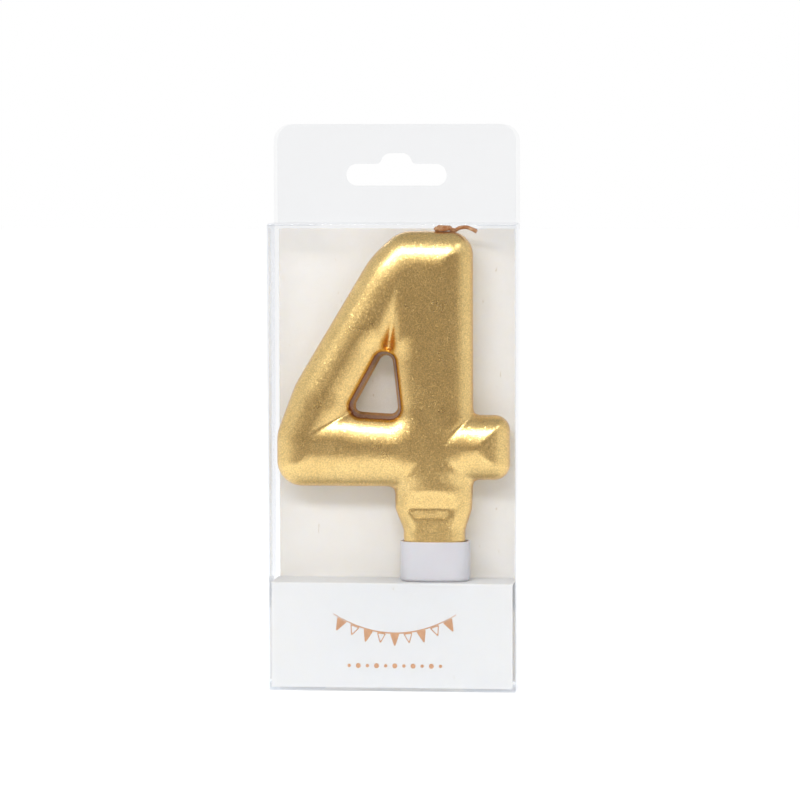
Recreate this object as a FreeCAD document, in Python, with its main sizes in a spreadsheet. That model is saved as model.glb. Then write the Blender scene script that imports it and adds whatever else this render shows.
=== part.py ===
"""Number birthday candle in a clear folding box with a hanging header.

Millimetres. +Z is up, the candle faces -Y, and the origin is the centre of the footprint
on the surface that the pack stands on. Each physical piece is one object of the document.
"""
import FreeCAD
import Part
import Sketcher
import os

NEAR = 1e-3

DRIVING = {
    # clear folding box
    "sleeve_width": 78.5,
    "sleeve_depth": 19.0,
    "sleeve_height": 148.0,
    "film": 0.3,
    "crease_gap": 0.1,
    "lid_side_gap": 0.15,
    "seam_width": 12.0,
    "seam_inset": 3.0,
    # lid and hanging header
    "header_height": 31.0,
    "header_layer_gap": 0.05,
    "header_front_inset": 1.25,
    "header_corner": 5.5,
    "slot_length": 32.0,
    "slot_width": 6.9,
    "slot_bottom": 159.5,
    "slot_bump_width": 10.0,
    "slot_bump_top": 169.8,
    "slot_bump_corner": 3.2,
    "end_flat": 0.05,
    # dust flaps and tuck flap
    "dust_top_left": 15.5,
    "dust_top_right": 12.0,
    "dust_bottom": 17.0,
    "dust_front_relief": 3.0,
    "tuck_height": 8.0,
    "tuck_corner": 4.0,
    # card insert
    "card": 0.4,
    "card_width": 76.4,
    "card_back_shift": 0.5,
    "card_lift": 1.4,
    "card_top": 146.0,
    "card_back_face": 8.8,
    "card_front_face": 9.0,
    "shelf_top": 34.7,
    "tab_height": 10.0,
    "spike_hole": 6.0,
    # wax numeral
    "numeral_thickness": 14.0,
    "numeral_top": 145.4,
    "numeral_edge_round": 4.5,
    "crown_left": 1.7,
    "shoulder_side": 7.3,
    "shoulder_level": 137.2,
    "hip_side": 31.6,
    "hip_level": 96.6,
    "left_end": 37.35,
    "knee_level": 81.3,
    "bar_bottom": 64.5,
    "stem_left": 0.3,
    "neck_shoulder": 57.5,
    "neck_level": 51.0,
    "neck_left": 2.9,
    "neck_right": 22.6,
    "stem_low_right": 24.7,
    "stem_right": 25.1,
    "arm_bottom": 66.8,
    "arm_end": 36.8,
    "arm_top": 87.4,
    "hole_apex_side": 1.5,
    "hole_apex_level": 109.8,
    "hole_left": 13.2,
    "hole_left_level": 88.5,
    "hole_right": 0.9,
    "hole_right_level": 87.7,
    "crown_round": 10.0,
    "shoulder_round": 30.0,
    "knee_round": 12.0,
    "foot_round": 8.0,
    "arm_round": 5.0,
    "corner_round": 7.5,
    "inner_round": 2.3,
    "neck_round": 5.0,
    "hole_round": 1.8,
    "plug_half_depth": 5.3,
    "plug_corner": 4.9,
    "bar_length": 12.6,
    "bar_width": 4.1,
    "bar_centre": 12.4,
    "bar_level": 56.7,
    "bar_proud": 0.35,
    "neck_overlap": 2.0,
    "cut_margin": 1.0,
    # wick
    "wick_diameter": 1.2,
    "wick_bore": 1.3,
    "wick_side": 13.0,
    "wick_foot": 62.0,
    "knot_half_length": 2.9,
    "knot_half_depth": 1.35,
    "knot_half_height": 0.95,
    "knot_lift": 0.05,
    "tail_diameter": 1.1,
    "tail_start": 1.5,
    "tail_crest": 6.36,
    "tail_turn": 9.01,
    "tail_reach": 10.6,
    "tail_drop": 0.1,
    "tail_rise": 0.2,
    "tail_sag": 0.5,
    # cup and spike
    "cup_side": 13.0,
    "cup_length": 22.1,
    "cup_depth": 13.0,
    "cup_height": 12.7,
    "cup_wall": 0.8,
    "cup_floor": 1.2,
    "cup_corner": 6.0,
    "cup_base_round": 1.6,
    "spike_length": 30.5,
    "spike_width": 5.0,
    "spike_tip": 0.8,
    "spike_rib": 1.2,
}

doc = FreeCAD.newDocument("NumberCandle")
sheet = doc.addObject("Spreadsheet::Sheet", "Dimensions")
for row, (alias, value) in enumerate(DRIVING.items(), start=1):
    sheet.set("A%d" % row, alias)
    sheet.set("B%d" % row, str(value))
    sheet.setAlias("B%d" % row, alias)
doc.recompute()

nodes = []


def cell(alias):
    """The value of one driving dimension."""
    return float(sheet.get(alias))


def bound(text):
    """An expression in which each driving dimension's name becomes a reference to its cell."""
    words = text.replace("(", " ( ").replace(")", " ) ").split()
    return " ".join("Dimensions." + word if word in DRIVING else word for word in words)


def bind(thing, **expressions):
    for name, text in expressions.items():
        thing.setExpression(name.replace("__", "."), bound(text))


def keep(thing, label):
    thing.Label = label
    nodes.append(thing)
    return thing


# ---------------------------------------------------------------- building blocks


def plain_panel(label, low, size):
    """A flat rectangular panel from its low corner and its size, each three expressions."""
    box = doc.addObject("Part::Box", label)
    bind(box, Length=size[0], Width=size[1], Height=size[2])
    bind(box, Placement__Base__x=low[0], Placement__Base__y=low[1], Placement__Base__z=low[2])
    return keep(box, label)


def new_body(label, **offset):
    """A body, moved by the expressions given for x, y and z."""
    body = doc.addObject("PartDesign::Body", label)
    for axis, text in offset.items():
        body.setExpression("Placement.Base." + axis, bound(text))
    return body


def new_sketch(body, plane, name, lift="0"):
    """A sketch on one of the body's origin planes, raised off it by lift."""
    sketch = body.newObject("Sketcher::SketchObject", name)
    origin = next(f for f in body.Origin.OriginFeatures if f.Role == plane)
    sketch.AttachmentSupport = [(origin, "")]
    sketch.MapMode = "FlatFace"
    sketch.setExpression("AttachmentOffset.Base.z", bound(lift))
    return sketch


def value_of(text):
    """The number that an expression of driving dimensions stands for."""
    return float(sheet.evalExpression(bound(text)))


def outline(sketch, corners, closed=True):
    """A run of straight lines; each corner is a pair of expressions for its two distances."""
    places = [FreeCAD.Vector(value_of(across), value_of(up), 0) for across, up in corners]
    first = sketch.GeometryCount
    ends = places[1:] + places[:1] if closed else places[1:]
    for start, end in zip(places, ends):
        sketch.addGeometry(Part.LineSegment(start, end), False)
    lines = len(ends)
    for index in range(lines if closed else lines - 1):
        following = first + (index + 1) % lines
        sketch.addConstraint(Sketcher.Constraint("Coincident", first + index, 2, following, 1))
    for index, corner in enumerate(corners):
        line, end = (first + index, 1) if index < lines else (first + index - 1, 2)
        for kind, text in zip(("DistanceX", "DistanceY"), corner):
            rule = Sketcher.Constraint(kind, -1, 1, line, end, value_of(text))
            number = sketch.addConstraint(rule)
            sketch.setExpression("Constraints[%d]" % number, bound(text))


def rectangle(sketch, left, right, low, high):
    outline(sketch, [(left, low), (right, low), (right, high), (left, high)])


def pad(body, sketch, name, length, side="Symmetric"):
    feature = body.newObject("PartDesign::Pad", name)
    feature.Profile = sketch
    feature.SideType = side
    bind(feature, Length=length)
    doc.recompute()
    return feature


def pocket(body, sketch, name, length, side="Symmetric", reverse=False):
    """A cut that has to take something away."""
    before = body.Shape.Volume
    feature = body.newObject("PartDesign::Pocket", name)
    feature.Profile = sketch
    feature.SideType = side
    feature.Reversed = reverse
    bind(feature, Length=length)
    doc.recompute()
    if body.Shape.Volume >= before:
        raise ValueError(name + " cuts nothing")
    return feature


def fillet(body, name, radius, choose):
    """Round the edges of the body's tip that choose() accepts."""
    tip = body.Tip
    picked = ["Edge%d" % number for number, edge in enumerate(tip.Shape.Edges, start=1)
              if choose(edge)]
    if not picked:
        raise ValueError(name + " finds no edge")
    feature = body.newObject("PartDesign::Fillet", name)
    feature.Base = (tip, picked)
    bind(feature, Radius=radius)
    doc.recompute()
    return feature


def through(axis, *corners):
    """Accepts the straight edges along axis at the given corners of an outline."""
    others = [i for i in range(3) if i != axis]
    places = [[value_of(text) for text in corner] for corner in corners]

    def choose(edge):
        start, end = edge.Vertexes[0].Point, edge.Vertexes[-1].Point
        if any(abs(start[i] - end[i]) > NEAR for i in others):
            return False
        return any(all(abs(start[i] - at) < NEAR for i, at in zip(others, place))
                   for place in places)
    return choose


def lying_at(axis, *levels):
    """Accepts the edges that lie wholly at one of the levels along axis."""
    def choose(edge):
        middle = edge.valueAt((edge.FirstParameter + edge.LastParameter) / 2)
        points = [vertex.Point for vertex in edge.Vertexes] + [middle]
        return any(all(abs(point[axis] - level) < NEAR for point in points) for level in levels)
    return choose


def rounded_block(label, side, depth, height, corner, **offset):
    """An upright block with rounded corners, centred on its own origin."""
    body = new_body(label, **offset)
    left, front = "- ( " + side + " )", "- ( " + depth + " )"
    rectangle(new_sketch(body, "XY_Plane", label + "_outline"), left, side, front, depth)
    pad(body, body.Group[-1], label + "_pad", height, "One side")
    fillet(body, label + "_corners", corner,
           through(2, (left, front), (side, front), (side, depth), (left, depth)))
    return body


# ---------------------------------------------------------------- clear film box


def film_tube():
    """The four walls and the lapped seam of the clear tube."""
    plain_panel("sleeve_front_panel",
                ("- sleeve_width / 2", "- sleeve_depth / 2", "0"),
                ("sleeve_width", "film", "sleeve_height"))
    plain_panel("sleeve_back_panel",
                ("- sleeve_width / 2", "sleeve_depth / 2 - film", "0"),
                ("sleeve_width", "film", "sleeve_height"))
    wall = ("film", "sleeve_depth - 2 * film", "sleeve_height")
    plain_panel("sleeve_left_panel",
                ("- sleeve_width / 2", "- sleeve_depth / 2 + film", "0"), wall)
    plain_panel("sleeve_right_panel",
                ("sleeve_width / 2 - film", "- sleeve_depth / 2 + film", "0"), wall)
    plain_panel("sleeve_glue_flap",
                ("sleeve_width / 2 - film - seam_width", "sleeve_depth / 2 - 2 * film",
                 "seam_inset"),
                ("seam_width", "film", "sleeve_height - 2 * seam_inset"))


def header_layer(label, half_width, middle):
    """One layer of the hanging header, with the slot that a display hook goes through."""
    body = new_body(label, y=middle)
    top = "sleeve_height + header_height"
    rectangle(new_sketch(body, "XZ_Plane", label + "_outline"),
              "- ( " + half_width + " )", half_width, "sleeve_height", top)
    pad(body, body.Group[-1], label + "_sheet", "film")
    fillet(body, label + "_corners", "header_corner",
           through(1, ("- ( " + half_width + " )", top), (half_width, top)))
    bar, bump = "slot_length / 2", "slot_bump_width / 2"
    shelf = "slot_bottom + slot_width"
    corners = [("- " + bar, "slot_bottom"), (bar, "slot_bottom"), (bar, shelf), (bump, shelf),
               (bump, "slot_bump_top"), ("- " + bump, "slot_bump_top"), ("- " + bump, shelf),
               ("- " + bar, shelf)]
    slot = new_sketch(body, "XZ_Plane", label + "_slot")
    outline(slot, corners)
    pocket(body, slot, label + "_slot_cut", "4 * film")
    fillet(body, label + "_slot_ends", "slot_width / 2 - end_flat",
           through(1, corners[0], corners[1], corners[2], corners[7]))
    fillet(body, label + "_bump", "slot_bump_corner", through(1, corners[4], corners[5]))
    fillet(body, label + "_bump_foot", "slot_bump_corner / 2",
           through(1, corners[3], corners[6]))
    keep(body, label)


def lid_and_header():
    plain_panel("lid_panel",
                ("- sleeve_width / 2 + film + lid_side_gap",
                 "- sleeve_depth / 2 + film + crease_gap", "sleeve_height - film"),
                ("sleeve_width - 2 * film - 2 * lid_side_gap",
                 "sleeve_depth - 2 * film - crease_gap - header_layer_gap", "film"))
    header_layer("header_front_layer", "sleeve_width / 2 - header_front_inset",
                 "sleeve_depth / 2 - 1.5 * film - header_layer_gap")
    header_layer("header_rear_layer", "sleeve_width / 2", "sleeve_depth / 2 - film / 2")


def dust_flap(label, side, reach, level, front):
    """A small flap that folds in from a side wall; side is -1 on the left and 1 on the right."""
    inner = "sleeve_width / 2 - film - crease_gap"
    low = "- ( " + inner + " )" if side < 0 else inner + " - " + reach
    back = "card_back_face - card - 2 * crease_gap"
    plain_panel(label, (low, front, level), (reach, back + " - ( " + front + " )", "film"))


def dust_flaps():
    """Two flaps under the lid and two above the bottom lid."""
    top_level = "sleeve_height - 2 * film - crease_gap"
    top_front = "- sleeve_depth / 2 + film + 2 * crease_gap"
    bottom_front = "- sleeve_depth / 2 + film + dust_front_relief"
    dust_flap("top_dust_flap_left", -1, "dust_top_left", top_level, top_front)
    dust_flap("top_dust_flap_right", 1, "dust_top_right", top_level, top_front)
    for side, word in ((-1, "left"), (1, "right")):
        dust_flap("bottom_dust_flap_" + word, side, "dust_bottom", "film + crease_gap",
                  bottom_front)


def bottom_lid():
    """The bottom lid and the flap that tucks up behind the card's front panel."""
    half = "sleeve_width / 2 - film - lid_side_gap"
    front = "- card_front_face + card + crease_gap"
    plain_panel("bottom_lid_panel", ("- ( " + half + " )", front, "0"),
                ("2 * ( " + half + " )",
                 "sleeve_depth / 2 - film - crease_gap - ( " + front + " )", "film"))
    body = new_body("bottom_tuck_flap", y=front + " + film / 2")
    top = "film + tuck_height"
    rectangle(new_sketch(body, "XZ_Plane", "tuck_outline"),
              "- ( " + half + " )", half, "film", top)
    pad(body, body.Group[-1], "tuck_sheet", "film")
    fillet(body, "tuck_corners", "tuck_corner", through(1, ("- ( " + half + " )", top), (half, top)))
    keep(body, "bottom_tuck_flap")


# ---------------------------------------------------------------- card insert


def card_insert():
    """The back card, and the folded card that makes the shelf and the white front."""
    left = "- card_width / 2"
    plain_panel("insert_back_panel",
                (left + " + card_back_shift", "card_back_face - card", "card_lift"),
                ("card_width", "card", "card_top - card_lift"))
    plain_panel("insert_front_panel", (left, "- card_front_face", "card_lift"),
                ("card_width", "card", "shelf_top - card_lift"))
    plain_panel("insert_glue_tab",
                (left, "card_back_face - 2 * card", "shelf_top - tab_height"),
                ("card_width", "card", "tab_height"))
    shelf = new_body("insert_shelf", z="shelf_top - card")
    rectangle(new_sketch(shelf, "XY_Plane", "shelf_outline"), left, "card_width / 2",
              "- card_front_face + card", "card_back_face - 2 * card")
    pad(shelf, shelf.Group[-1], "shelf_sheet", "card", "One side")
    drill = new_sketch(shelf, "XY_Plane", "spike_hole_outline")
    hole = Part.Circle(FreeCAD.Vector(cell("cup_side"), 0, 0), FreeCAD.Vector(0, 0, 1),
                       cell("spike_hole") / 2)
    drill.addGeometry(hole, False)
    drill.addConstraint(Sketcher.Constraint("PointOnObject", 0, 3, -1))
    side = drill.addConstraint(Sketcher.Constraint("DistanceX", -1, 1, 0, 3, cell("cup_side")))
    size = drill.addConstraint(Sketcher.Constraint("Diameter", 0, cell("spike_hole")))
    drill.setExpression("Constraints[%d]" % side, bound("cup_side"))
    drill.setExpression("Constraints[%d]" % size, bound("spike_hole"))
    pocket(shelf, drill, "spike_hole_cut", "4 * card")
    keep(shelf, "insert_shelf")


# ---------------------------------------------------------------- candle

CROWN = ("crown_left", "numeral_top")
SHOULDER = ("- shoulder_side", "shoulder_level")
HIP = ("- hip_side", "hip_level")
KNEE = ("- left_end", "knee_level")
FOOT = ("- left_end", "bar_bottom")
STEM_UNDER_BAR = ("stem_left", "bar_bottom")
NECK_SHOULDER_LEFT = ("stem_left", "neck_shoulder")
NECK_LEFT = ("neck_left", "neck_level")
NECK_END_LEFT = ("neck_left", "shelf_top")
NECK_END_RIGHT = ("neck_right", "shelf_top")
NECK_RIGHT = ("neck_right", "neck_level")
NECK_SHOULDER_RIGHT = ("stem_low_right", "neck_shoulder")
STEM_UNDER_ARM = ("stem_right", "arm_bottom")
ARM_LOW = ("arm_end", "arm_bottom")
ARM_HIGH = ("arm_end", "arm_top")
STEM_OVER_ARM = ("stem_right", "arm_top")
CORNER = ("stem_right", "numeral_top")
HOLE_APEX = ("- hole_apex_side", "hole_apex_level")
HOLE_LEFT = ("- hole_left", "hole_left_level")
HOLE_RIGHT = ("hole_right", "hole_right_level")


def numeral_form():
    """The figure itself: its outline, its triangular hole and its rounded rims."""
    body = new_body("numeral_form")
    edge = new_sketch(body, "XZ_Plane", "numeral_outline")
    outline(edge, [CROWN, SHOULDER, HIP, KNEE, FOOT, STEM_UNDER_BAR, NECK_SHOULDER_LEFT,
                   NECK_LEFT, NECK_END_LEFT, NECK_END_RIGHT, NECK_RIGHT, NECK_SHOULDER_RIGHT,
                   STEM_UNDER_ARM, ARM_LOW, ARM_HIGH, STEM_OVER_ARM, CORNER])
    outline(edge, [HOLE_APEX, HOLE_LEFT, HOLE_RIGHT])
    pad(body, edge, "numeral_slab", "numeral_thickness")
    rounds = {
        "crown_round": [CROWN],
        "shoulder_round": [SHOULDER, HIP],
        "knee_round": [KNEE],
        "foot_round": [FOOT],
        "arm_round": [ARM_LOW, ARM_HIGH],
        "corner_round": [CORNER],
        "inner_round": [STEM_UNDER_BAR, STEM_UNDER_ARM, STEM_OVER_ARM],
        "neck_round": [NECK_SHOULDER_LEFT, NECK_LEFT, NECK_END_LEFT, NECK_END_RIGHT,
                       NECK_RIGHT, NECK_SHOULDER_RIGHT],
        "hole_round": [HOLE_APEX, HOLE_LEFT, HOLE_RIGHT],
    }
    for radius, corners in rounds.items():
        fillet(body, radius + "_corners", radius, through(1, *corners))
    half = cell("numeral_thickness") / 2
    fillet(body, "numeral_rims", "numeral_edge_round", lying_at(1, -half, half))
    neck = new_sketch(body, "YZ_Plane", "neck_side_profile")
    far = "numeral_thickness"
    face = "numeral_thickness / 2"
    outline(neck, [("- " + far, "shelf_top - cut_margin"), ("- " + far, "neck_shoulder"),
                   ("- " + face, "neck_shoulder"), ("- plug_half_depth", "neck_level"),
                   ("plug_half_depth", "neck_level"), (face, "neck_shoulder"),
                   (far, "neck_shoulder"), (far, "shelf_top - cut_margin")])
    pocket(body, neck, "neck_taper", "2 * sleeve_width")
    return body


def neck_plug():
    """The rounded foot of the neck that fills the cup."""
    return rounded_block("neck_plug", "( neck_right - neck_left ) / 2", "plug_half_depth",
                         "neck_level + neck_overlap - shelf_top - cup_floor", "plug_corner",
                         x="( neck_right + neck_left ) / 2", z="shelf_top + cup_floor")


def neck_bar():
    """The low raised bar across the front of the neck."""
    body = new_body("neck_bar", y="- numeral_thickness / 2 + bar_width / 2")
    half = "bar_length / 2"
    left, right = "bar_centre - " + half, "bar_centre + " + half
    low, high = "bar_level - bar_width / 2", "bar_level + bar_width / 2"
    rectangle(new_sketch(body, "XZ_Plane", "bar_outline"), left, right, low, high)
    pad(body, body.Group[-1], "bar_block", "bar_width + 2 * bar_proud")
    fillet(body, "bar_ends", "bar_width / 2 - end_flat",
           through(1, (left, low), (left, high), (right, low), (right, high)))
    front = - value_of("bar_width / 2 + bar_proud")
    fillet(body, "bar_rim", "bar_width / 4", lying_at(1, front))
    return body


def numeral():
    """The wax figure: form, plug and bar in one casting, bored for the wick."""
    casting = doc.addObject("Part::MultiFuse", "numeral_casting")
    casting.Shapes = [numeral_form(), neck_plug(), neck_bar()]
    bore = doc.addObject("Part::Cylinder", "wick_bore_tool")
    bind(bore, Radius="wick_bore / 2", Height="numeral_top + cut_margin - wick_foot",
         Placement__Base__x="wick_side", Placement__Base__z="wick_foot")
    wax = doc.addObject("Part::Cut", "numeral_body")
    wax.Base = casting
    wax.Tool = bore
    keep(wax, "numeral_body")


def wick():
    """The braided wick: a straight core, a knot on the crown and a short drooping tail."""
    core = doc.addObject("Part::Cylinder", "wick_core")
    knot_level = "numeral_top + knot_half_height + knot_lift"
    bind(core, Radius="wick_diameter / 2", Height=knot_level + " - wick_foot",
         Placement__Base__x="wick_side", Placement__Base__z="wick_foot")
    knot = doc.addObject("Part::Ellipsoid", "wick_knot")
    knot.Angle1, knot.Angle2, knot.Angle3 = -90, 90, 360
    bind(knot, Radius1="knot_half_height", Radius2="knot_half_length", Radius3="knot_half_depth",
         Placement__Base__x="wick_side", Placement__Base__z=knot_level)
    route = doc.addObject("Sketcher::SketchObject", "wick_tail_route")
    route.Placement.Rotation = FreeCAD.Rotation(FreeCAD.Vector(1, 0, 0), 90)
    level = knot_level + " - tail_drop"
    outline(route, [("wick_side + tail_start", level),
                    ("wick_side + tail_crest", level + " + tail_rise"),
                    ("wick_side + tail_turn", level),
                    ("wick_side + tail_reach", level + " - tail_sag")], closed=False)
    section = doc.addObject("Part::Circle", "wick_section")
    section.Placement.Rotation = FreeCAD.Rotation(FreeCAD.Vector(0, 1, 0), 90)
    bind(section, Radius="tail_diameter / 2", Placement__Base__x="wick_side + tail_start",
         Placement__Base__z=level)
    doc.recompute()
    tail = doc.addObject("Part::Sweep", "wick_tail")
    tail.Sections = [section]
    tail.Spine = (route, ["Edge1", "Edge2", "Edge3"])
    tail.Solid = True
    tail.Transition = "Round corner"
    cord = doc.addObject("Part::MultiFuse", "wick")
    cord.Shapes = [core, knot, tail]
    keep(cord, "wick")


def holder():
    """The white cup under the neck and the cross-ribbed spike below it, in one moulding."""
    side, depth = "cup_length / 2", "cup_depth / 2"
    cup = rounded_block("cup_block", side, depth, "cup_height", "cup_corner",
                        x="cup_side", z="shelf_top")
    fillet(cup, "cup_base", "cup_base_round", lying_at(2, 0))
    core = rounded_block("cup_core", side + " - cup_wall", depth + " - cup_wall", "cup_height",
                         "cup_corner - cup_wall", x="cup_side", z="shelf_top + cup_floor")
    shell = doc.addObject("Part::Cut", "cup_shell")
    shell.Base = cup
    shell.Tool = core
    spike = new_body("spike", x="cup_side", z="shelf_top")
    root = "cup_floor / 2"
    blade = [("- spike_width / 2", root), ("spike_width / 2", root),
             ("spike_tip / 2", "- spike_length"), ("- spike_tip / 2", "- spike_length")]
    for plane in ("XZ_Plane", "YZ_Plane"):
        rib = new_sketch(spike, plane, "spike_rib_" + plane[:2].lower())
        outline(rib, blade)
        pad(spike, rib, rib.Name + "_pad", "spike_rib")
    moulding = doc.addObject("Part::Fuse", "holder")
    moulding.Base = shell
    moulding.Tool = spike
    keep(moulding, "holder")


# ---------------------------------------------------------------- build and write

film_tube()
lid_and_header()
dust_flaps()
bottom_lid()
card_insert()
numeral()
wick()
holder()
doc.recompute()

for thing in doc.Objects:
    if "Invalid" in thing.State or "Error" in thing.State:
        raise RuntimeError("%s is %s" % (thing.Name, thing.State))
for node in nodes:
    if node.Shape.isNull() or not node.Shape.isValid() or len(node.Shape.Solids) != 1:
        raise RuntimeError(node.Label + " is not one valid solid")

os.makedirs("parts", exist_ok=True)
for node in nodes:
    node.Shape.exportStep("parts/" + node.Label + ".step")
    print("%-26s %10.2f mm3" % (node.Label, node.Shape.Volume))
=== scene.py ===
"""Looks of a number birthday candle in its clear hanging box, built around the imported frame.

The CAD model is in metres; sizes below are in millimetres and turned into metres by MM.
+Z is up, the candle faces -Y and the origin is the centre of the pack's footprint.
"""
import math

import bmesh
import bpy
import numpy as np
from mathutils import Matrix, Vector

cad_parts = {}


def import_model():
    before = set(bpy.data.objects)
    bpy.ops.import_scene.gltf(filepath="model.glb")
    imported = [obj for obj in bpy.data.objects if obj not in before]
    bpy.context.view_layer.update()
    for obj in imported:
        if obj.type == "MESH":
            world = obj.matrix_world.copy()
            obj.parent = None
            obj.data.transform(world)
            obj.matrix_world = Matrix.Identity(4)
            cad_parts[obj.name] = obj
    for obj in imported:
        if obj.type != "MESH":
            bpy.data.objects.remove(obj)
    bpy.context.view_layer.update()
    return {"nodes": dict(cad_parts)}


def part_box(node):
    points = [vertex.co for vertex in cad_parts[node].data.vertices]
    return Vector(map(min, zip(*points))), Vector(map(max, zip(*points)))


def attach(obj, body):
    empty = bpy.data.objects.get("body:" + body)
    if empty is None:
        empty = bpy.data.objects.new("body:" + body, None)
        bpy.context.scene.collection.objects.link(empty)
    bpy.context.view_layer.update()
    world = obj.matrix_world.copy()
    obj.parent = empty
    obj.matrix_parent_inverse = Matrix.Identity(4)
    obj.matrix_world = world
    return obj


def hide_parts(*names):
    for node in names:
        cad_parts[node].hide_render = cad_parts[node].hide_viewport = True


MM = 0.001
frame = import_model()


def node_box(name):
    """Lowest and highest corner of a CAD node, in millimetres."""
    low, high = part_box(name)
    return np.array(low) / MM, np.array(high) / MM


FILM = 0.3
CARD = 0.4
BACK_HIGH = node_box("sleeve_back_panel")[1]
FRONT_LOW = node_box("sleeve_front_panel")[0]
SLEEVE_TOP = BACK_HIGH[2]
WALL_X = BACK_HIGH[0] - FILM / 2
WALL_FRONT = FRONT_LOW[1] + FILM / 2
WALL_BACK = BACK_HIGH[1] - FILM / 2
SHELF_TOP = node_box("insert_shelf")[1][2]
NUMERAL_LOW, NUMERAL_HIGH = node_box("numeral_body")
HOLDER_LOW, HOLDER_HIGH = node_box("holder")
HOLDER_X = (HOLDER_LOW[0] + HOLDER_HIGH[0]) / 2
CARD_FACE = node_box("insert_front_panel")[0][1]

# -------- material helpers


class Shader:
    """A node tree under construction: add() makes a node, link() joins two sockets."""

    def __init__(self, name, store="materials", output="ShaderNodeOutputMaterial"):
        self.owner = getattr(bpy.data, store).new(name)
        self.owner.use_nodes = True
        self.tree = self.owner.node_tree
        self.tree.nodes.clear()
        self.output = self.add(output)

    def add(self, kind, **values):
        """A new node; a value sets its property, or sets or links its input, of that name."""
        node = self.tree.nodes.new(kind)
        for key, value in values.items():
            if hasattr(node, key):
                setattr(node, key, value)
            else:
                self.feed([node.inputs[key.replace("_", " ")]], [value])
        return node

    def feed(self, inputs, values):
        """Link or set each input; a value is a socket, a constant or None for neither."""
        for socket, value in zip(inputs, values):
            if isinstance(value, bpy.types.NodeSocket):
                self.tree.links.new(value, socket)
            elif value is not None:
                socket.default_value = value

    def place(self):
        """The position in object space."""
        return self.add("ShaderNodeTexCoord").outputs["Object"]

    def noise(self, scale, detail=2.0, roughness=0.5):
        """Noise in object space; scale is features per metre."""
        return self.add("ShaderNodeTexNoise", Vector=self.place(), Scale=scale, Detail=detail,
                        Roughness=roughness).outputs["Fac"]

    def ramp(self, value, low, high, colour_low, colour_high):
        """Colour from value: colour_low at low to colour_high at high."""
        node = self.add("ShaderNodeValToRGB", Fac=value)
        first, last = node.color_ramp.elements
        first.position, first.color = low, colour_low
        last.position, last.color = high, colour_high
        return node.outputs["Color"]

    def mottle(self, scale, detail, dark, light, roughness=0.5):
        """A noise between two colours."""
        return self.ramp(self.noise(scale, detail, roughness), 0.3, 0.7, dark, light)

    def spread(self, value, low, high):
        """Number from value: low at 0 to high at 1."""
        return self.add("ShaderNodeMapRange", Value=value, To_Min=low, To_Max=high).outputs[0]

    def bump(self, height, strength, distance):
        """Normal from a height; distance is in metres."""
        return self.add("ShaderNodeBump", Height=height, Strength=strength,
                        Distance=distance).outputs["Normal"]

    def number(self, operation, *values):
        """Result of a sum on numbers."""
        node = self.add("ShaderNodeMath", operation=operation)
        self.feed(node.inputs, values)
        return node.outputs[0]

    def vector(self, operation, *values):
        """Result of a sum on vectors."""
        node = self.add("ShaderNodeVectorMath", operation=operation)
        self.feed(node.inputs, values)
        return node.outputs["Value" if operation == "DOT_PRODUCT" else "Vector"]

    def mixed(self, share, one, two, blend="MIX"):
        """Colour one, mixed with colour two by share."""
        node = self.add("ShaderNodeMix", data_type="RGBA", blend_type=blend)
        self.feed((node.inputs[0], node.inputs[6], node.inputs[7]), (share, one, two))
        return node.outputs[2]

    def shaders(self, share, one, two):
        """Shader one, mixed with shader two by share."""
        node = self.add("ShaderNodeMixShader")
        self.feed(node.inputs, (share, one.outputs[0], two.outputs[0]))
        return node

    def principled(self, **sockets):
        """The main surface shader; each value sets or links an input."""
        return self.add("ShaderNodeBsdfPrincipled", **sockets)

    def surface(self, shader):
        """Finish with this shader; returns the material or world."""
        self.feed([self.output.inputs["Surface"]], [shader.outputs[0]])
        return self.owner


def grey(level):
    """A neutral colour."""
    return (level, level, level, 1.0)


# gold: flakes per metre, a mix that gives each flake its own chance, and how far flakes tip
# the mesh's colour attribute that holds the numeral's painted shade
PAINTED_SHADE_ATTRIBUTE = "coat_tint"
FLAKES = 4200.0
FLAKE_MIX = (37.0, 61.0, 0.0)
FLAKE_TILT, GLINT_TILT = 0.05, 0.23
FLAKE_SHADE = 0.62
GLINTS_FROM, GLINTS_FULL = 0.6, 0.95
GOLD_DARK, GOLD_LIGHT = (0.90, 0.625, 0.235, 1), (0.97, 0.69, 0.275, 1)
GOLD_ROUGHNESS = (0.26, 0.30)
# film: colour of what passes head on and edge on, reflection head on and edge on, and haze
FILM_HEAD_ON, FILM_EDGE_ON = (0.994, 0.9965, 1.0, 1), (0.87, 0.885, 0.91, 1)
FILM_SHEEN = (0.95, 0.96, 0.98, 1)
FILM_GLOSS = (0.028, 0.95)
FILM_GLOSS_POWER = 4.0
FILM_HAZE = (0.0, 0.010)
# card: how far light soaks in, in metres and by colour, and its fibres
CARD_SOAK, CARD_SOAK_COLOUR = 0.0018, (1.0, 0.82, 0.6)
FIBRES, FIBRE_STRETCH = 900.0, (1.0, 1.0, 0.35)
FIBRE_COLOUR = (0.80, 0.74, 0.66, 1)
MOULDING_DARK, MOULDING_LIGHT = (0.535, 0.53, 0.56, 1), (0.56, 0.555, 0.585, 1)
YARN_BARE, YARN_COATED = (0.58, 0.36, 0.20, 1), (0.38, 0.15, 0.05, 1)
FOIL_DARK, FOIL_LIGHT = (0.50, 0.25, 0.115, 1), (0.62, 0.33, 0.16, 1)
FLOOR_GLOW = 0.42


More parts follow.
